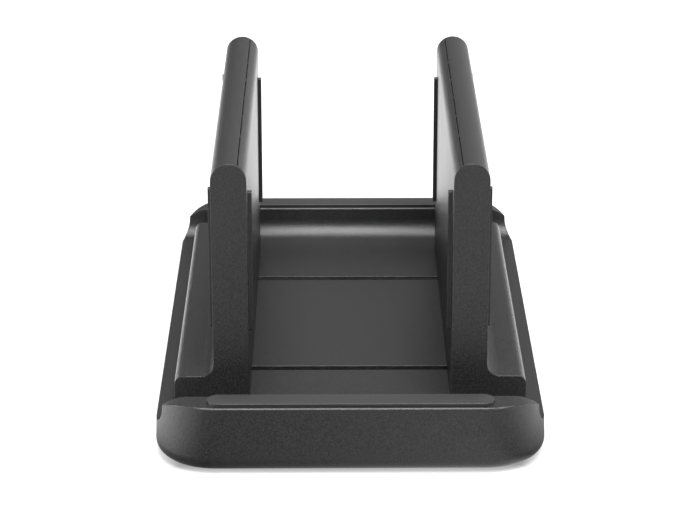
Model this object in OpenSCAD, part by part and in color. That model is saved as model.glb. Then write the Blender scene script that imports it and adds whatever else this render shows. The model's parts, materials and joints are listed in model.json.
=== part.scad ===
// Upright stand for a mini PC: a low moulded tray with a raised lip at the front and rear,
// and two L-shaped brackets that slide towards each other along slots in the tray floor.
// The origin is on the resting surface, under the middle of the tray.
// X runs left to right, Y from front to rear, and Z up.

/* [Tray] */
// Width of the tray, left to right
tray_w = 120; // [110:1:150]
// Depth of the tray, front to rear
tray_d = 192; // [186:1:240]
// Plan radius of the tray's corners
corner_r = 19; // [18:0.5:24]
// Height of the tray floor above the tray's underside
floor_h = 11.1; // [10.4:0.1:14]
// Thickness of the tray floor
floor_t = 3; // [2.4:0.1:3.4]
// Width of the solid rim round the underside
rim_t = 5.2; // [5:0.1:7]
// Radius along the bottom edge of the tray
bottom_r = 4.4; // [3:0.1:4.8]
// How far each outer wall leans in from that radius to the top
draft = 0.6; // [0.1:0.1:1]
// Radius along the top edges of the lips
edge_r = 0.6; // [0.4:0.1:1]
// Thickness of the ribs under the floor
rib_t = 2; // [1.4:0.1:3]
// Width of the pockets between the ribs
rib_pocket = 16; // [12:1:18]

/* [Lips] */
// Height of the lips above the tray floor
lip_h = 9.9; // [7:0.1:14]
// Depth of a lip, front to rear
lip_d = 10.4; // [9.6:0.1:14]
// Radius of the cove between a lip and the floor
cove_r = 5.6; // [3:0.1:6.5]
// Length over which a lip's top falls away at each end
lip_end_run = 11.3; // [6:0.1:12]
// Radius of that fall
lip_end_r = 14; // [13:0.1:20]
// Width of the core slot inside a lip
lip_core_w = 2.8; // [2:0.1:3]
// Skin left above and behind the core slot
lip_skin = 2.2; // [1.8:0.1:2.4]

/* [Lip pads] */
// Length of a lip pad
lip_pad_l = 87; // [60:1:95]
// Width of a lip pad
lip_pad_w = 7.5; // [5:0.1:8]
// Height of a lip pad above the lip
lip_pad_proud = 1.05; // [0.5:0.05:2]
// Depth of the recess that a lip pad is set in
lip_pad_sunk = 0.6; // [0.3:0.05:1]

/* [Feet] */
// Radius of a rubber foot
foot_r = 6; // [4:0.1:6.5]
// Height of a foot below the tray
foot_proud = 1; // [0.6:0.1:2.5]
// Depth of the recess that a foot is set in
foot_sunk = 1; // [0.6:0.1:2]
// Distance from the tray's outline to a foot's centre
foot_inset = 16; // [15.5:0.5:18]
// Wall of the boss round a foot
foot_boss_wall = 2; // [1.5:0.1:2.2]

/* [Slots] */
// Distance between the front and the rear slot, centre to centre
slot_pitch = 80.6; // [70:0.2:90]
// Width of a slot
slot_w = 3.4; // [3.3:0.1:4.4]
// Room past the guide keys at the outer end of a slot
slot_end_room = 1.2; // [0.6:0.1:2]

/* [Brackets] */
// Distance from the tray's side to a bracket's sole when fully open
open_margin = 5.5; // [4:0.1:10]
// Length of a bracket, front to rear
bracket_l = 141; // [134:1:160]
// Thickness of the upright
stem_t = 11; // [10:0.1:13]
// Height of the upright above the bracket's underside
stem_h = 78.9; // [74:0.1:120]
// Reach of the bracket's sole past the upright
sole_reach = 12.2; // [10:0.1:14]
// Thickness of the sole
sole_h = 9.8; // [8:0.1:14]
// Radius between the upright and the sole
sole_fillet_r = 4; // [2:0.1:5]
// Radius of the sole's outer top edge
sole_edge_r = 2.6; // [1:0.1:4]
// Thickness of the inner cover
cover_t = 2.6; // [2.4:0.1:3]
// Wall of the hollow shell
shell_wall = 2.2; // [1.8:0.1:2.4]
// Shadow gap between the shell and its cover
seam_gap = 0.25; // [0.1:0.05:0.4]
// Thickness of the shell's end faces beside the cover
end_face_t = 0.8; // [0.6:0.1:1.2]
// Running gap between a bracket and the tray
run_gap = 0.1; // [0.05:0.05:0.3]
// Number of stiffening ribs inside a shell, counting one at each slide boss
shell_ribs = 5; // [3:1:7]
// Thickness of the shell's ribs
shell_rib_t = 1.6; // [1.2:0.1:2.4]

/* [Bracket pads] */
// Height of an inner pad's lower end above the bracket's underside
pad_z = 21.5; // [19:0.1:26]
// How much higher the outer pads sit than the inner pads
outer_pad_rise = 1.2; // [0:0.1:3]
// Length of a pad, upwards
pad_l = 45.4; // [40:0.1:50]
// Width of the flush base of a pad
pad_base_w = 5.6; // [5.4:0.1:8]
// Width of the rib that stands proud of the base
pad_rib_w = 2; // [1.4:0.1:4]
// Height of an inner pad's rib above the cover
inner_pad_proud = 1.25; // [0.6:0.05:1.3]
// Height of an outer pad's rib above the shell
outer_pad_proud = 1.2; // [0.4:0.05:2]
// Depth of the recess that a pad's base is set in
pad_sunk = 0.4; // [0.2:0.05:0.6]
// Distance from the bracket's end to the middle of its pads
pad_in = 10.3; // [6:0.1:14]
// Corner radius of a bracket pad
pad_corner_r = 0.4; // [0.3:0.1:0.6]

/* [Slide fixings] */
// Distance from the inner face of a bracket to its slide screws
slide_screw_in = 10; // [9.4:0.1:10.6]
// Radius of a slide screw's shank
slide_screw_r = 1.5; // [1.2:0.05:1.5]
// Length of a slide screw inside its boss
slide_screw_grip = 9; // [6:0.5:10]
// Radius of a slide screw's head
slide_head_r = 2.75; // [2.5:0.05:3]
// Height of a slide screw's head
slide_head_h = 2; // [1.2:0.1:2]
// Radius of a washer
washer_r = 4.5; // [4:0.1:5]
// Thickness of a washer
washer_t = 0.8; // [0.5:0.1:1]
// Wall of the boss round a slide screw
slide_boss_wall = 2; // [1.6:0.1:2.4]
// Length of a guide key
key_l = 3.6; // [2.5:0.1:3.6]
// Distance from a slide screw to the centre of a guide key
key_pitch = 5.2; // [5:0.1:5.4]
// Depth of a guide key in its slot
key_h = 2.3; // [1.6:0.1:2.3]
// Side clearance of a guide key
key_gap = 0.15; // [0.1:0.05:0.3]
// Width of the slide bar
bar_w = 16; // [12:0.5:16]
// Thickness of the slide bar
bar_t = 3; // [2.4:0.1:3.2]
// Length of the slide bar past its screws
bar_end = 5.7; // [5:0.1:8]
// Height of the spine under the slide bar
bar_spine_h = 1.4; // [0.8:0.1:1.8]
// Width of that spine
bar_spine_w = 5; // [3:0.5:8]
// Corner radius of the slide bar
bar_corner_r = 2; // [0.5:0.5:4]

/* [Cover screws] */
// Radius of a cover screw's thread
cover_screw_r = 1.2; // [1:0.05:1.4]
// Radius of a cover screw's countersunk head
cover_head_r = 2.4; // [2:0.05:2.6]
// Depth of the countersink
cover_head_h = 1.2; // [1:0.05:1.4]
// Distance from a pad's end to the cover screw under it
cover_screw_inset = 9; // [6:0.5:12]
// Wall of the boss round a cover screw
cover_boss_wall = 1.8; // [1.4:0.1:2]

/* [Hidden] */
$fn = 64;
CHARCOAL = [0.24, 0.24, 0.25];
RUBBER = [0.17, 0.17, 0.17];
STEEL = [0.62, 0.62, 0.6];
LEFT = -1;
RIGHT = 1;
FRONT = -1;
REAR = 1;
// Overshoot of a cut past the face that it opens
cut = 1;
// Radial play of a screw in its thread
thread_play = 0.02;
// Clearance of a screw's shank in a plain hole
hole_play = 0.15;
// Places that follow from the sizes above, with heights from the resting surface
tray_z = foot_proud;
tray_h = floor_h + lip_h;
floor_z = tray_z + floor_h;
lip_z = tray_z + tray_h;
floor_under_z = floor_z - floor_t;
bracket_x = tray_w / 2 - open_margin - sole_reach - stem_t;
bracket_z = floor_z + run_gap;
pad_y = bracket_l / 2 - pad_in;
slide_x = bracket_x + slide_screw_in;
bar_top_z = floor_under_z - run_gap;
bar_l = slot_pitch + 2 * bar_end;
slot_half = slide_x + key_pitch + key_l / 2 + slot_end_room;
foot_x = tray_w / 2 - foot_inset;
foot_y = tray_d / 2 - foot_inset;
lip_y = (tray_d - draft - lip_d) / 2;
rail_in = bar_l / 2 + run_gap + key_gap;
cavity_x = tray_w / 2 - rim_t;
cavity_y = tray_d / 2 - rim_t;
rib_pitch = rib_pocket + rib_t;
rib_steps = floor((cavity_x - rib_t / 2) / rib_pitch);
boss_top = sole_h + sole_fillet_r;
crown_z = stem_h - stem_t / 2;
cover_screw_z = [pad_z + cover_screw_inset, pad_z + pad_l - cover_screw_inset];

// Places its children, which are drawn for the right-hand side, on one side
module on_side(side) {
    mirror([side < 0 ? 1 : 0, 0, 0]) children();
}

// Turns a flat outline drawn in X and Z into a bar of length l centred on Y
module along_y(l) {
    translate([0, l / 2, 0]) rotate([90, 0, 0]) linear_extrude(l) children();
}

// Turns a flat outline drawn in Y and Z into a bar of length l centred on X
module along_x(l) {
    translate([-l / 2, 0, 0]) rotate([90, 0, 90]) linear_extrude(l) children();
}

// Bar with half-round ends, l long and w wide over all
module stadium(l, w) {
    square([l - w, w], center = true);
    for (end = [-1, 1]) translate([end * (l - w) / 2, 0]) circle(d = w);
}

// Rectangle w by l with rounded corners
module round_rect(w, l, r) {
    square([w - 2 * r, l], center = true);
    square([w, l - 2 * r], center = true);
    for (a = [-1, 1], b = [-1, 1])
        translate([a * (w / 2 - r), b * (l / 2 - r)]) circle(r = r);
}

// Section through the tray's edge: round below, leaning wall, and a softened top corner
module edge_section(reach) {
    top = reach - draft;
    square([reach - bottom_r, tray_h - edge_r]);
    translate([reach - bottom_r, bottom_r]) circle(r = bottom_r);
    polygon([[0, bottom_r], [reach, bottom_r], [top, tray_h - edge_r], [0, tray_h - edge_r]]);
    translate([0, tray_h - 2 * edge_r]) square([top - edge_r, 2 * edge_r]);
    translate([top - edge_r, tray_h - edge_r]) circle(r = edge_r);
}

// The tray's outer form before its top is shaped
module tray_block() {
    straight_x = tray_w - 2 * corner_r;
    straight_y = tray_d - 2 * corner_r;
    along_x(straight_x) for (end = [0, 1]) mirror([end, 0]) edge_section(tray_d / 2);
    for (side = [LEFT, RIGHT]) {
        on_side(side) translate([straight_x / 2, 0, 0])
            along_y(straight_y) edge_section(corner_r);
        for (end = [0, 1]) on_side(side) mirror([0, end, 0])
            translate([straight_x / 2, straight_y / 2, 0])
                rotate_extrude(angle = 90) edge_section(corner_r);
    }
}

// Section of one lip with the cove at its foot, from the tray's outer face inwards
module lip_section() {
    difference() {
        square([lip_d, lip_h]);
        translate([lip_d - edge_r, lip_h - edge_r]) difference() {
            square(edge_r + cut);
            circle(r = edge_r);
        }
    }
    translate([lip_d, 0]) difference() {
        square(cove_r);
        translate([cove_r, cove_r]) circle(r = cove_r);
    }
}

// Side view of the tray: a slab with a lip at each end
module side_view() {
    translate([-tray_d / 2, 0]) square([tray_d, floor_h]);
    for (end = [0, 1]) mirror([end, 0])
        translate([-tray_d / 2, floor_h]) lip_section();
}

// Front view of the tray: flat-topped lips that fall away at both ends
module front_view() {
    flat = tray_w / 2 - lip_end_run;
    translate([-flat, 0]) square([2 * flat, tray_h]);
    for (end = [0, 1]) mirror([end, 0]) translate([flat, 0]) intersection() {
        square([lip_end_run, tray_h]);
        union() {
            square([lip_end_run, floor_h]);
            translate([0, tray_h - lip_end_r]) circle(r = lip_end_r);
        }
    }
}

// Ribs that stay standing in the cavity under the floor
module underside_ribs(h) {
    for (end = [FRONT, REAR])
        translate([-cavity_x, end * (rail_in + rib_t / 2) - rib_t / 2, 0])
            cube([2 * cavity_x, rib_t, h]);
    translate([-rib_t / 2, -cavity_y, 0]) cube([rib_t, 2 * cavity_y, h]);
    for (side = [LEFT, RIGHT], end = [FRONT, REAR], i = [1 : rib_steps])
        translate([side * i * rib_pitch - rib_t / 2, end * (rail_in + cavity_y) / 2, 0])
            translate([0, -(cavity_y - rail_in) / 2, 0])
                cube([rib_t, cavity_y - rail_in, h]);
}

// Hollow under the floor, between the rim, the ribs and the foot bosses
module underside() {
    h = floor_h - floor_t;
    difference() {
        translate([0, 0, -cut]) linear_extrude(h + cut)
            round_rect(2 * cavity_x, 2 * cavity_y, corner_r - rim_t);
        translate([0, 0, -2 * cut]) underside_ribs(h + 3 * cut);
        for (side = [LEFT, RIGHT], end = [FRONT, REAR])
            translate([side * foot_x, end * foot_y, -2 * cut])
                cylinder(r = foot_r + foot_boss_wall, h = h + 3 * cut);
    }
}

// Core slots that keep the lips from being thick, one between each pair of ribs
module lip_cores() {
    core_y = tray_d / 2 - lip_d + lip_skin;
    for (side = [LEFT, RIGHT], end = [FRONT, REAR], i = [0 : rib_steps - 1])
        translate([side * (i + 0.5) * rib_pitch - rib_pocket / 2,
                   end * (core_y + lip_core_w / 2) - lip_core_w / 2, -cut])
            cube([rib_pocket, lip_core_w, tray_h - lip_skin - lip_pad_sunk + cut]);
}

// Tray: one moulding with lips, slots, ribs, and recesses for its pads and feet
module tray() color(CHARCOAL) translate([0, 0, tray_z]) difference() {
    intersection() {
        tray_block();
        along_x(tray_w) side_view();
        along_y(tray_d) front_view();
    }
    underside();
    lip_cores();
    for (end = [FRONT, REAR]) {
        translate([0, end * slot_pitch / 2, floor_h - floor_t - cut])
            linear_extrude(floor_t + 2 * cut) stadium(2 * slot_half, slot_w);
        translate([0, end * lip_y, tray_h - lip_pad_sunk])
            linear_extrude(lip_pad_sunk + cut) stadium(lip_pad_l, lip_pad_w);
        for (side = [LEFT, RIGHT])
            translate([side * foot_x, end * foot_y, -cut])
                cylinder(r = foot_r, h = foot_sunk + cut);
    }
}

// Long rubber pad set into the top of a lip
module lip_pad(end) color(RUBBER)
    translate([0, end * lip_y, lip_z - lip_pad_sunk])
        linear_extrude(lip_pad_sunk + lip_pad_proud) stadium(lip_pad_l, lip_pad_w);

// Rubber foot with a softened tread edge
module foot(side, end) color(RUBBER)
    translate([side * foot_x, end * foot_y, 0]) rotate_extrude() difference() {
        square([foot_r, foot_proud + foot_sunk]);
        translate([foot_r, 0]) rotate(45) square(foot_proud * 0.7, center = true);
    }

// Outline of a bracket in X and Z, from its inner face outwards and from its underside up
module bracket_outline() {
    sole_l = stem_t + sole_reach;
    square([stem_t, crown_z]);
    translate([stem_t / 2, crown_z]) circle(d = stem_t);
    square([sole_l, sole_h - sole_edge_r]);
    square([sole_l - sole_edge_r, sole_h]);
    translate([sole_l - sole_edge_r, sole_h - sole_edge_r]) circle(r = sole_edge_r);
    translate([stem_t, sole_h]) difference() {
        square(sole_fillet_r);
        translate([sole_fillet_r, sole_fillet_r]) circle(r = sole_fillet_r);
    }
}

// The part of that outline which the shell fills, up to the cover
module shell_outline() {
    intersection() {
        bracket_outline();
        translate([cover_t, 0]) square([stem_t + sole_reach, stem_h]);
    }
}

// Outline of the hollow inside the shell, open towards the cover
module hollow_outline() {
    inner_x = stem_t - shell_wall;
    translate([0, shell_wall]) square([inner_x, crown_z - shell_wall]);
    translate([stem_t / 2, crown_z]) circle(r = stem_t / 2 - shell_wall);
    translate([0, shell_wall])
        square([stem_t + sole_reach - shell_wall, sole_h - 2 * shell_wall]);
}

// Ribs across the hollow of the shell, the outermost two through the slide bosses
module shell_rib_set() {
    pitch = slot_pitch / (shell_ribs - 1);
    for (i = [0 : shell_ribs - 1])
        translate([0, i * pitch - slot_pitch / 2, 0]) along_y(shell_rib_t) shell_outline();
}

// Bosses for the cover screws, from the outer wall to the cover
module cover_bosses() {
    r = cover_screw_r + cover_boss_wall;
    for (end = [FRONT, REAR], z = cover_screw_z)
        translate([cover_t, end * pad_y, z]) rotate([0, 90, 0])
            cylinder(r = r, h = stem_t - cover_t - shell_wall / 2);
}

// Bosses for the slide screws, standing in the sole and kept inside the bracket's outline
module slide_bosses() {
    r = slide_screw_r + slide_boss_wall;
    for (end = [FRONT, REAR]) translate([0, end * slot_pitch / 2, 0]) intersection() {
        translate([slide_screw_in, 0, 0]) cylinder(r = r, h = boss_top);
        along_y(3 * r) shell_outline();
    }
}

// Keys that run in the slots and keep the bracket square
module guide_keys() {
    for (end = [FRONT, REAR], k = [-1, 1])
        translate([slide_screw_in + k * key_pitch - key_l / 2,
                   end * slot_pitch / 2 - slot_w / 2 + key_gap, -key_h])
            cube([key_l, slot_w - 2 * key_gap, key_h + shell_wall]);
}

// Recess or pad on a bracket's side: w wide, from x outwards for t
module side_pad(x, w, t) {
    translate([x, 0, pad_z + pad_l / 2]) rotate([90, 0, 90])
        linear_extrude(t) round_rect(w, pad_l, pad_corner_r);
}

// Outer shell of a bracket: the hollow L with its ribs, bosses and guide keys
module shell(side) color(CHARCOAL) on_side(side)
    translate([bracket_x, 0, bracket_z]) difference() {
        union() {
            difference() {
                along_y(bracket_l) bracket_outline();
                along_y(bracket_l - 2 * shell_wall) hollow_outline();
                translate([-cut, -bracket_l / 2 + end_face_t, -cut])
                    cube([cover_t + seam_gap + cut, bracket_l - 2 * end_face_t,
                          stem_h + 2 * cut]);
            }
            shell_rib_set();
            cover_bosses();
            slide_bosses();
            guide_keys();
        }
        for (end = [FRONT, REAR]) {
            translate([slide_screw_in, end * slot_pitch / 2, -cut])
                cylinder(r = slide_screw_r + thread_play, h = slide_screw_grip + 2 * cut);
            for (z = cover_screw_z)
                translate([cover_t - cut, end * pad_y, z]) rotate([0, 90, 0])
                    cylinder(r = cover_screw_r + thread_play,
                             h = stem_t - cover_t - shell_wall + cut);
            translate([0, end * pad_y, outer_pad_rise])
                side_pad(stem_t - pad_sunk, pad_base_w, pad_sunk + cut);
        }
    }

// Flat inner cover of a bracket, with recesses for its pads and screws
module cover(side) color(CHARCOAL) on_side(side)
    translate([bracket_x, 0, bracket_z]) difference() {
        along_y(bracket_l - 2 * (end_face_t + seam_gap)) intersection() {
            bracket_outline();
            square([cover_t, stem_h]);
        }
        for (end = [FRONT, REAR]) {
            translate([0, end * pad_y, 0]) side_pad(-cut, pad_base_w, pad_sunk + cut);
            for (z = cover_screw_z) translate([0, end * pad_y, z]) rotate([0, 90, 0]) {
                cylinder(r = cover_screw_r + hole_play, h = cover_t + cut);
                translate([0, 0, pad_sunk])
                    cylinder(r1 = cover_head_r, r2 = cover_screw_r + hole_play, h = cover_head_h);
            }
        }
    }

// Pad on the inner face, whose rib grips the device
module inner_pad(side, end) color(RUBBER) on_side(side)
    translate([bracket_x, end * pad_y, bracket_z]) {
        side_pad(0, pad_base_w, pad_sunk);
        side_pad(-inner_pad_proud, pad_rib_w, inner_pad_proud + pad_sunk);
    }

// Pad on the outer face
module outer_pad(side, end) color(RUBBER) on_side(side)
    translate([bracket_x, end * pad_y, bracket_z + outer_pad_rise]) {
        side_pad(stem_t - pad_sunk, pad_base_w, pad_sunk);
        side_pad(stem_t - pad_sunk, pad_rib_w, outer_pad_proud + pad_sunk);
    }

// Bar under the tray floor that both slide screws of a bracket pull up
module slide_bar(side) color(CHARCOAL) on_side(side)
    translate([slide_x, 0, bar_top_z - bar_t]) difference() {
        union() {
            linear_extrude(bar_t) round_rect(bar_w, bar_l, bar_corner_r);
            translate([-bar_spine_w / 2, -slot_pitch / 2 + washer_r + cut, -bar_spine_h])
                cube([bar_spine_w, slot_pitch - 2 * (washer_r + cut), bar_spine_h + bar_t]);
        }
        for (end = [FRONT, REAR]) translate([0, end * slot_pitch / 2, -cut])
            cylinder(r = slide_screw_r + hole_play, h = bar_t + 2 * cut);
    }

// Washers under the slide screws' heads
module slide_washers(side) color(STEEL) on_side(side)
    for (end = [FRONT, REAR])
        translate([slide_x, end * slot_pitch / 2, bar_top_z - bar_t - washer_t])
            difference() {
                cylinder(r = washer_r, h = washer_t);
                translate([0, 0, -cut])
                    cylinder(r = slide_screw_r + hole_play, h = washer_t + 2 * cut);
            }

// Slide screws: pan heads with a hexagon socket, up through the slots into the sole
module slide_screws(side) color(STEEL) on_side(side) {
    head_z = bar_top_z - bar_t - washer_t - slide_head_h;
    socket_r = slide_head_r * 0.5;
    for (end = [FRONT, REAR])
        translate([slide_x, end * slot_pitch / 2, head_z]) difference() {
            union() {
                cylinder(r = slide_head_r, h = slide_head_h);
                cylinder(r = slide_screw_r, h = bracket_z + slide_screw_grip - head_z);
            }
            translate([0, 0, -cut]) cylinder(r = socket_r, h = cut + slide_head_h * 0.6, $fn = 6);
        }
}

// Countersunk screws that hold the cover, hidden under the inner pads
module cover_screws(side) color(STEEL) on_side(side)
    translate([bracket_x + pad_sunk, 0, bracket_z])
        for (end = [FRONT, REAR], z = cover_screw_z)
            translate([0, end * pad_y, z]) rotate([0, 90, 0]) difference() {
                union() {
                    cylinder(r1 = cover_head_r - hole_play, r2 = cover_screw_r, h = cover_head_h);
                    cylinder(r = cover_screw_r, h = stem_t - shell_wall - pad_sunk - hole_play);
                }
                translate([0, 0, -cut])
                    cylinder(r = cover_screw_r * 0.8, h = cut + cover_head_h * 0.7, $fn = 6);
            }

tray();
lip_pad(FRONT);  // front_lip_pad
lip_pad(REAR);  // rear_lip_pad
foot(LEFT, FRONT);  // front_left_foot
foot(RIGHT, FRONT);  // front_right_foot
foot(LEFT, REAR);  // rear_left_foot
foot(RIGHT, REAR);  // rear_right_foot
shell(LEFT);  // left_shell
cover(LEFT);  // left_cover
inner_pad(LEFT, FRONT);  // left_front_inner_pad
inner_pad(LEFT, REAR);  // left_rear_inner_pad
outer_pad(LEFT, FRONT);  // left_front_outer_pad
outer_pad(LEFT, REAR);  // left_rear_outer_pad
slide_bar(LEFT);  // left_slide_bar
slide_washers(LEFT);  // left_slide_washers
slide_screws(LEFT);  // left_slide_screws
cover_screws(LEFT);  // left_cover_screws
shell(RIGHT);  // right_shell
cover(RIGHT);  // right_cover
inner_pad(RIGHT, FRONT);  // right_front_inner_pad
inner_pad(RIGHT, REAR);  // right_rear_inner_pad
outer_pad(RIGHT, FRONT);  // right_front_outer_pad
outer_pad(RIGHT, REAR);  // right_rear_outer_pad
slide_bar(RIGHT);  // right_slide_bar
slide_washers(RIGHT);  // right_slide_washers
slide_screws(RIGHT);  // right_slide_screws
cover_screws(RIGHT);  // right_cover_screws
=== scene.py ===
"""Looks of the mini PC holder: finishes, soft-edged rubber pads, light and camera."""

import json
import math

import bmesh
import bpy
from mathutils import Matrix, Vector


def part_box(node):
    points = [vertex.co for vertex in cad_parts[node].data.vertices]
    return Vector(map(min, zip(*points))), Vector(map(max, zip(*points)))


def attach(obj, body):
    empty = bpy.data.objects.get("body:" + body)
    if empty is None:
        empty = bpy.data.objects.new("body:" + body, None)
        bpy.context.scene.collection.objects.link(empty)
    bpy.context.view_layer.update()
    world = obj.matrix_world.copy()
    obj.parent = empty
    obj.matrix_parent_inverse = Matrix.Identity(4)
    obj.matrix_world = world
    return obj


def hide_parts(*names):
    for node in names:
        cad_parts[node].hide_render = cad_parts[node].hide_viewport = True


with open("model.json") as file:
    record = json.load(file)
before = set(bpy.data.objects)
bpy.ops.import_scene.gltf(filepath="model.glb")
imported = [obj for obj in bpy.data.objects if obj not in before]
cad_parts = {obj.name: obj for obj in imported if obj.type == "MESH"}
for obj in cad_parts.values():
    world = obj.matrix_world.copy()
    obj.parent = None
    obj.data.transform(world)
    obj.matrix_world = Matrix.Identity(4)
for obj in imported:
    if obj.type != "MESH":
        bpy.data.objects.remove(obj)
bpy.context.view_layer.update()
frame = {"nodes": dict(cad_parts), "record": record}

MM = 0.001

# Camera: place in millimetres, angles in degrees, focal length in pixels of the frame's width
CAMERA_AT = Vector((-5.3, -829.8, 344.9)) * MM
CAMERA_PITCH = 20.54
CAMERA_YAW = 0.394
FOCAL_PIXELS = 2665
FRAME_PIXELS = 700
SENSOR_MM = 36
CLIP_START = 0.01
CLIP_END = 20

# Lamps: place, side of the square, both in millimetres, and watts
LAMPS = {
    "overhead": ((0, 0, 1300), 700, 18),
    "key": ((100, -650, 1100), 800, 40),
    "left_low": ((-1100, -200, 100), 300, 12),
    "right_low": ((1100, 100, 100), 250, 5),
}
LAMPS_AIM = Vector((0, 0, 40)) * MM

# Colours are linear
CHARCOAL = (0.009, 0.009, 0.0093)
PAD_GREY = (0.018, 0.018, 0.0184)
FOOT_BLACK = (0.022, 0.022, 0.022)
BAR_BLACK = (0.032, 0.032, 0.034)
ZINC = (0.56, 0.56, 0.55)

# Noise of all finishes: colour patches, grain, and how far the grain moves the roughness of
# moulded pieces to either side
PATCH_NOISE = {"Detail": 6.0, "Roughness": 0.7}
PATCH_CONTRAST = (0.3, 0.7)
GRAIN_NOISE = {"Detail": 3.0, "Roughness": 0.6}
ROUGHNESS_CHANGE = 0.06
BEVEL_SAMPLES = 8

# Painted shade on steep faces: height of a face's normal up to which the painted shade is full,
# and from which there is none
PAINTED_SHADE_FULL_UNTIL = 0.2
PAINTED_SHADE_NONE_FROM = 0.8

# In each group of four numbers below, the first two are a range of places and the last two
# are the levels at its ends. Places are in metres, and directions have a length of 1.

# Backdrop by the height of a direction, and by how far it points to the dim side
WORLD_BY_HEIGHT = (0.2, 0.7, 0.75, 0.15)
WORLD_BY_REAR = (0.65, 0.92, 1.0, 0.1)
WORLD_DIM_SIDE = (-0.5, 0.8, -0.33)

# Floor: its size, depth and grey, then its glow to the camera by the distance from the middle,
# dimmer near the middle as painted shade, and by how far aside and how far along a place lies,
# which ends the glow under the tray as a painted shadow
FLOOR_SIDE = 3.0
FLOOR_SINK = 0.02 * MM
FLOOR_GREY = 0.3
GLOW_BY_REACH = (0.2, 0.7, 0.6, 1.0)
PAINTED_SHADOW_PAST_SIDE = (0.046, 0.058, 0.0, 1.0)
PAINTED_SHADOW_PAST_END = (0.082, 0.094, 0.0, 1.0)

# Floor as the object reflects it, a painted reflection that glows only to glossy rays: from
# left to right, from front to rear, aside from a line near the middle, towards the corners, and
# by the distance from the middle
MIRRORED_BY_X = (-0.05, 0.05, 0.3, 1.6)
MIRRORED_BY_DEPTH = (-0.12, 0.12, 0.0, 2.6)
MIRRORED_CENTRE = 0.005
MIRRORED_BY_SIDE = (0.067, 0.092, 0.0, 2.9)
MIRRORED_TO_CORNER = (0.047, 0.056, 1.0, 0.0)
MIRRORED_BY_REACH = (0.4, 0.6, 1.0, 0.3)

# Lip pad: its soft edge, the steps round the edge and round a quarter of the outline, the
# share of the plain pad's width that it keeps, and the angle from which a crease stays sharp
PAD_EDGE = 0.15 * MM
PAD_EDGE_STEPS = 4
ARC_STEPS = 16
PAD_WIDTH_SHARE = 0.9999
PAD_CREASE = math.radians(50)


def node(material, kind, **inputs):
    """Adds a shader node and sets its named inputs."""
    made = material.node_tree.nodes.new(kind)
    for name, value in inputs.items():
        made.inputs[name.replace("_", " ")].default_value = value
    return made


def link(material, start, end):
    """Joins a shader node's output to another's input."""
    material.node_tree.links.new(start, end)


def blank_material(name):
    """A material with only its output node, and that node."""
    material = bpy.data.materials.new(name)
    material.use_nodes = True
    material.node_tree.nodes.clear()
    return material, node(material, "ShaderNodeOutputMaterial")


def mapped(material, value, low, high, start, end):
    """A value carried from the range low to high over to the range start to end, clamped."""
    scaled = node(material, "ShaderNodeMapRange",
                  From_Min=low, From_Max=high, To_Min=start, To_Max=end)
    link(material, value, scaled.inputs["Value"])
    return scaled.outputs["Result"]


def combined(material, operation, first, second):
    """Two values joined by a mathematical operation."""
    joined = node(material, "ShaderNodeMath")
    joined.operation = operation
    link(material, first, joined.inputs[0])
    link(material, second, joined.inputs[1])
    return joined.outputs[0]


def larger(material, first, second):
    """The larger of two values."""
    return combined(material, "MAXIMUM", first, second)


def distance_from(material, value, middle=0.0):
    """How far a value lies from the middle, without its sign."""
    shifted = node(material, "ShaderNodeMath")
    shifted.operation = "SUBTRACT"
    shifted.inputs[1].default_value = middle
    link(material, value, shifted.inputs[0])
    plain = node(material, "ShaderNodeMath")
    plain.operation = "ABSOLUTE"
    link(material, shifted.outputs[0], plain.inputs[0])
    return plain.outputs[0]


def mottled_colour(material, where, colour, spread, per_metre):
    """Colour that varies by a share of itself in soft patches and fine specks."""
    patches = node(material, "ShaderNodeTexNoise", Scale=per_metre, **PATCH_NOISE)
    link(material, where, patches.inputs["Vector"])
    ramp = node(material, "ShaderNodeValToRGB")
    for stop, place, share in zip(ramp.color_ramp.elements, PATCH_CONTRAST, (-spread, spread)):
        stop.position = place
        stop.color = [c * (1 + share) for c in colour] + [1]
    link(material, patches.outputs["Fac"], ramp.inputs["Fac"])
    return ramp.outputs["Color"]


def grain_normal(material, where, edge_mm, per_metre, depth_mm, strength):
    """Normal of a softened edge with fine grain on it, and the grain's height."""
    soft = node(material, "ShaderNodeBevel", Radius=edge_mm * MM)
    soft.samples = BEVEL_SAMPLES
    grain = node(material, "ShaderNodeTexNoise", Scale=per_metre, **GRAIN_NOISE)
    link(material, where, grain.inputs["Vector"])
    bump = node(material, "ShaderNodeBump", Strength=strength, Distance=depth_mm * MM)
    link(material, grain.outputs["Fac"], bump.inputs["Height"])
    link(material, soft.outputs["Normal"], bump.inputs["Normal"])
    return bump.outputs["Normal"], grain.outputs["Fac"]


def grained(name, edge_mm, per_metre, depth_mm, strength, smoothest, roughest):
    """Material with softened edges and grain, its shader and its object coordinates."""
    material, out = blank_material(name)
    place = node(material, "ShaderNodeTexCoord").outputs["Object"]
    shader = node(material, "ShaderNodeBsdfPrincipled")
    normal, grain = grain_normal(material, place, edge_mm, per_metre, depth_mm, strength)
    link(material, normal, shader.inputs["Normal"])
    link(material, mapped(material, grain, 0, 1, smoothest, roughest),
         shader.inputs["Roughness"])
    link(material, shader.outputs["BSDF"], out.inputs["Surface"])
    return material, shader, place


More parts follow.
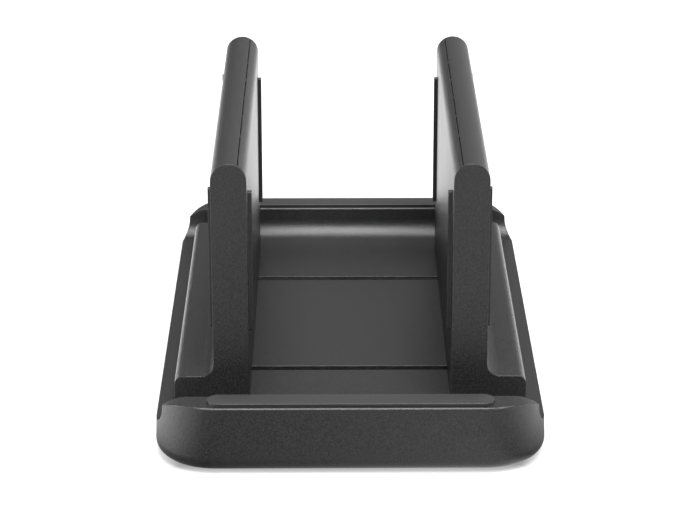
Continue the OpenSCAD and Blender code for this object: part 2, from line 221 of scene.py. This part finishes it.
def moulded(name, colour, roughness, edge_mm, grain_mm, depth_mm, strength=0.5, spread=0.05,
            gloss=0.15, painted_upright_shade=1.0):
    """Moulded plastic or rubber, whose steep faces may get painted shade that makes them darker
    than level ones.
    """
    material, shader, place = grained(name, edge_mm, 1 / (grain_mm * MM), depth_mm, strength,
                                      roughness - ROUGHNESS_CHANGE,
                                      roughness + ROUGHNESS_CHANGE)
    shader.inputs["Specular IOR Level"].default_value = gloss
    axes = node(material, "ShaderNodeSeparateXYZ")
    link(material, node(material, "ShaderNodeNewGeometry").outputs["Normal"], axes.inputs[0])
    shade = node(material, "ShaderNodeVectorMath")
    shade.operation = "SCALE"
    link(material, mottled_colour(material, place, colour, spread, 1 / (2 * grain_mm * MM)),
         shade.inputs["Vector"])
    # Painted shade: steep faces keep only a share of the colour, so they read darker as if in
    # shade
    link(material,
         mapped(material, axes.outputs["Z"], PAINTED_SHADE_FULL_UNTIL, PAINTED_SHADE_NONE_FROM, painted_upright_shade, 1.0),
         shade.inputs["Scale"])
    link(material, shade.outputs["Vector"], shader.inputs["Base Color"])
    return material


def plated_steel(name):
    """Zinc-plated steel with faint turning marks."""
    material, shader, place = grained(name, edge_mm=0.15, per_metre=4000, depth_mm=0.02,
                                      strength=0.3, smoothest=0.25, roughest=0.42)
    shader.inputs["Metallic"].default_value = 1.0
    link(material, mottled_colour(material, place, ZINC, spread=0.08, per_metre=900),
         shader.inputs["Base Color"])
    return material


def pad_finish(name, edge_mm, painted_upright_shade):
    """Rubber of the pads, which differ in their soft edge and in how deep the painted shade on
    their steep faces is.
    """
    return moulded(name, PAD_GREY, roughness=0.5, edge_mm=edge_mm, grain_mm=0.16,
                   depth_mm=0.01, strength=0.3, spread=0.1, gloss=0.4, painted_upright_shade=painted_upright_shade)


FINISHES = {
    "moulded_shell": moulded("charcoal_grain", CHARCOAL, roughness=0.38, edge_mm=0.4,
                             grain_mm=0.32, depth_mm=0.11, strength=0.8, spread=0.95,
                             gloss=0.4),
    # Bracket pads: painted shade keeps their steep faces at 0.7 of the colour
    "pad_rubber": pad_finish("pad_rubber", edge_mm=0.25, painted_upright_shade=0.7),
    "foot_rubber": moulded("foot_rubber", FOOT_BLACK, roughness=0.65, edge_mm=0.3,
                           grain_mm=0.3, depth_mm=0.02),
    "slide_plastic": moulded("black_plastic", BAR_BLACK, roughness=0.4, edge_mm=0.3,
                             grain_mm=0.4, depth_mm=0.01, strength=0.3),
    "fixing_steel": plated_steel("zinc_plate"),
}
# Lip pads: painted shade keeps their steep faces at 0.3 of the colour, darkening the pad sides
LIP_RUBBER = pad_finish("lip_rubber", edge_mm=0.1, painted_upright_shade=0.3)


def dress_frame():
    """Gives every carried-over solid the finish of its slot in the record."""
    for part in frame["record"]["subparts"]:
        solid = frame["nodes"][part["node"]]
        solid.data.materials.clear()
        solid.data.materials.append(FINISHES[part["material_slot"]])


def stadium_outline(length, width):
    """Points round a bar with half-round ends that lies along X, with outward normals."""
    radius = width / 2
    points = []
    for quarter in range(4):
        centre = Vector((1 if quarter in (0, 3) else -1, 0)) * (length / 2 - radius)
        for step in range(ARC_STEPS + 1):
            # These quarters start a step late, so a long side leans by less than 0.02 mm
            if quarter in (1, 3) and step == 0:
                continue
            angle = (quarter + step / ARC_STEPS) * math.pi / 2
            outward = Vector((math.cos(angle), math.sin(angle)))
            points.append((centre + outward * radius, outward))
    return points


def soft_edge_rings(height):
    """Inset and height of each ring of a bar with a rounded top edge, from its foot up."""
    rings = [(0.0, 0.0)]
    for step in range(PAD_EDGE_STEPS + 1):
        angle = step / PAD_EDGE_STEPS * math.pi / 2
        rings.append((PAD_EDGE * (1 - math.cos(angle)),
                      height - PAD_EDGE * (1 - math.sin(angle))))
    return rings


def soft_lip_pad(solid_name):
    """Stands a pad with a softened top edge in for a lip's plain one."""
    low, high = (Vector(corner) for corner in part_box(solid_name))
    size = high - low
    base = Vector(((low.x + high.x) / 2, (low.y + high.y) / 2, low.z))
    outline = stadium_outline(size.x, size.y * PAD_WIDTH_SHARE)
    mesh = bmesh.new()
    loops = [
        [mesh.verts.new(base + Vector((p.x - n.x * inset, p.y - n.y * inset, rise)))
         for p, n in outline]
        for inset, rise in soft_edge_rings(size.z)
    ]
    for lower, upper in zip(loops, loops[1:]):
        for i in range(len(outline)):
            j = (i + 1) % len(outline)
            mesh.faces.new((lower[i], lower[j], upper[j], upper[i]))
    mesh.faces.new(loops[-1])
    mesh.faces.new(list(reversed(loops[0])))
    data = bpy.data.meshes.new(solid_name + "_soft")
    mesh.to_mesh(data)
    mesh.free()
    data.materials.append(LIP_RUBBER)
    pad = bpy.data.objects.new(solid_name + "_soft", data)
    bpy.context.scene.collection.objects.link(pad)
    for face in data.polygons[:-2]:
        face.use_smooth = True
    data.set_sharp_from_angle(angle=PAD_CREASE)
    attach(pad, "tray")
    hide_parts(solid_name)


def floor_levels(material):
    """The floor's glow to the camera, with a painted shadow under the tray, and its painted
    glow in reflections.
    """
    place = node(material, "ShaderNodeTexCoord").outputs["Object"]
    axes = node(material, "ShaderNodeSeparateXYZ")
    link(material, place, axes.inputs[0])
    aside = distance_from(material, axes.outputs["X"])
    along = distance_from(material, axes.outputs["Y"])
    lit_aside = distance_from(material, axes.outputs["X"], MIRRORED_CENTRE)
    length = node(material, "ShaderNodeVectorMath")
    length.operation = "LENGTH"
    link(material, place, length.inputs[0])
    reach = length.outputs["Value"]
    # Painted shadow: the glow ends under the tray, and is dimmer near the middle as painted
    # shade
    clear = larger(material, mapped(material, aside, *PAINTED_SHADOW_PAST_SIDE),
                   mapped(material, along, *PAINTED_SHADOW_PAST_END))
    glow = combined(material, "MULTIPLY", clear, mapped(material, reach, *GLOW_BY_REACH))
    # Painted reflection: the floor's glow to glossy rays, brighter to the rear, the sides and
    # the right
    around = larger(material, mapped(material, axes.outputs["Y"], *MIRRORED_BY_DEPTH),
                    mapped(material, lit_aside, *MIRRORED_BY_SIDE))
    before = combined(material, "MULTIPLY",
                      mapped(material, axes.outputs["X"], *MIRRORED_BY_X),
                      mapped(material, lit_aside, *MIRRORED_TO_CORNER))
    painted_reflection = combined(material, "MULTIPLY", larger(material, around, before),
                        mapped(material, reach, *MIRRORED_BY_REACH))
    return glow, painted_reflection


def make_floor():
    """Pale floor, white to the camera, that keeps a soft shadow of the object, deepened by
    painted shade near the middle and a painted shadow under the tray.
    """
    bpy.ops.mesh.primitive_plane_add(size=FLOOR_SIDE, location=(0, 0, -FLOOR_SINK))
    floor = bpy.context.object
    floor.name = "studio_floor"
    material, out = blank_material("studio_floor")
    path = node(material, "ShaderNodeLightPath")
    glossy = path.outputs["Is Glossy Ray"]
    matt = node(material, "ShaderNodeBsdfDiffuse")
    # Painted reflection: reflections see no lit floor, only the painted glow
    link(material, mapped(material, glossy, 0, 1, FLOOR_GREY, 0), matt.inputs["Color"])
    glow, painted_reflection = floor_levels(material)
    level = combined(material, "ADD",
                     combined(material, "MULTIPLY", glossy, painted_reflection),
                     combined(material, "MULTIPLY", path.outputs["Is Camera Ray"], glow))
    light = node(material, "ShaderNodeEmission")
    link(material, level, light.inputs["Strength"])
    both = node(material, "ShaderNodeAddShader")
    link(material, matt.outputs[0], both.inputs[0])
    link(material, light.outputs[0], both.inputs[1])
    link(material, both.outputs[0], out.inputs["Surface"])
    floor.data.materials.append(material)


def make_world():
    """White backdrop, which the object reflects as dimmer overhead and at the rear left."""
    world = bpy.data.worlds.new("studio")
    bpy.context.scene.world = world
    world.use_nodes = True
    world.node_tree.nodes.clear()
    place = node(world, "ShaderNodeTexCoord").outputs["Generated"]
    axes = node(world, "ShaderNodeSeparateXYZ")
    link(world, place, axes.inputs[0])
    rearward = node(world, "ShaderNodeVectorMath")
    rearward.operation = "DOT_PRODUCT"
    rearward.inputs[1].default_value = WORLD_DIM_SIDE
    link(world, place, rearward.inputs[0])
    dimmed = combined(world, "MULTIPLY",
                      mapped(world, axes.outputs["Z"], *WORLD_BY_HEIGHT),
                      mapped(world, rearward.outputs["Value"], *WORLD_BY_REAR))
    seen = node(world, "ShaderNodeLightPath").outputs["Is Camera Ray"]
    surround = node(world, "ShaderNodeBackground", Color=(1, 1, 1, 1))
    link(world, larger(world, dimmed, seen), surround.inputs["Strength"])
    out = node(world, "ShaderNodeOutputWorld")
    link(world, surround.outputs[0], out.inputs["Surface"])


def area_light(name, at_mm, size_mm, watts):
    """Soft square lamp that looks at the middle of the object."""
    data = bpy.data.lights.new(name, "AREA")
    data.energy = watts
    data.size = size_mm * MM
    lamp = bpy.data.objects.new(name, data)
    bpy.context.scene.collection.objects.link(lamp)
    lamp.location = Vector(at_mm) * MM
    lamp.rotation_mode = "QUATERNION"
    lamp.rotation_quaternion = (LAMPS_AIM - lamp.location).to_track_quat("-Z", "Y")


def make_camera():
    """Camera at the photograph's place, with a long lens and no shift."""
    data = bpy.data.cameras.new("camera")
    data.sensor_width = SENSOR_MM
    data.lens = FOCAL_PIXELS / FRAME_PIXELS * SENSOR_MM
    data.clip_start, data.clip_end = CLIP_START, CLIP_END
    camera = bpy.data.objects.new("camera", data)
    bpy.context.scene.collection.objects.link(camera)
    camera.location = CAMERA_AT
    pitch, yaw = math.radians(CAMERA_PITCH), math.radians(CAMERA_YAW)
    ahead = Vector((math.sin(yaw) * math.cos(pitch),
                    math.cos(yaw) * math.cos(pitch), -math.sin(pitch)))
    camera.rotation_mode = "QUATERNION"
    camera.rotation_quaternion = ahead.to_track_quat("-Z", "Y")
    bpy.context.scene.camera = camera


make_camera()
make_world()
make_floor()
dress_frame()
soft_lip_pad("front_lip_pad")
soft_lip_pad("rear_lip_pad")
for lamp_name, lamp_values in LAMPS.items():
    area_light(lamp_name, *lamp_values)
bpy.context.scene.view_settings.view_transform = "Standard"
